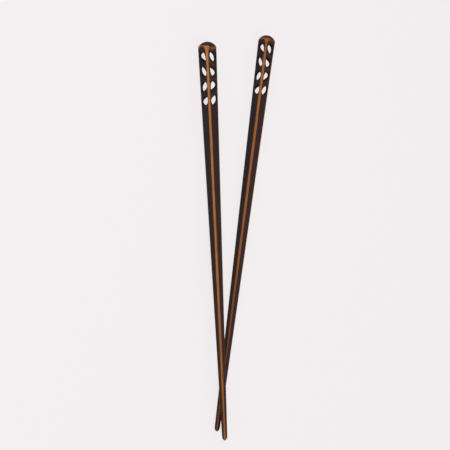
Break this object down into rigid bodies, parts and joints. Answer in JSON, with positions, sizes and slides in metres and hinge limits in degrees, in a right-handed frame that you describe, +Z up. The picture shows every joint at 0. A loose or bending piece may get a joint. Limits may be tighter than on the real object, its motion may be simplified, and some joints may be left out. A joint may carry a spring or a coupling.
{
  "type": "pair of chopsticks",
  "caption": "Pair of tapered, square wooden chopsticks with domed heads pierced by slanting leaf windows and rounded tips, lying crossed near the tips; for picking up food.",
  "frame": {"origin": "middle of the pair's footprint, on the surface that it lies on", "axes": "+Z up; +Y along the pair, from the crossed tips towards the heads; +X from the head of the upper stick towards the head of the lower one"},
  "size_m": [0.0528, 0.234, 0.0075],
  "materials": {
    "stained_wood": "dark satin stain, worn to bare wood along the edges"
  },
  "bodies": {
    "root": {"lower_chopstick": "stained_wood", "upper_chopstick": "stained_wood"}
  },
  "joints": []
}
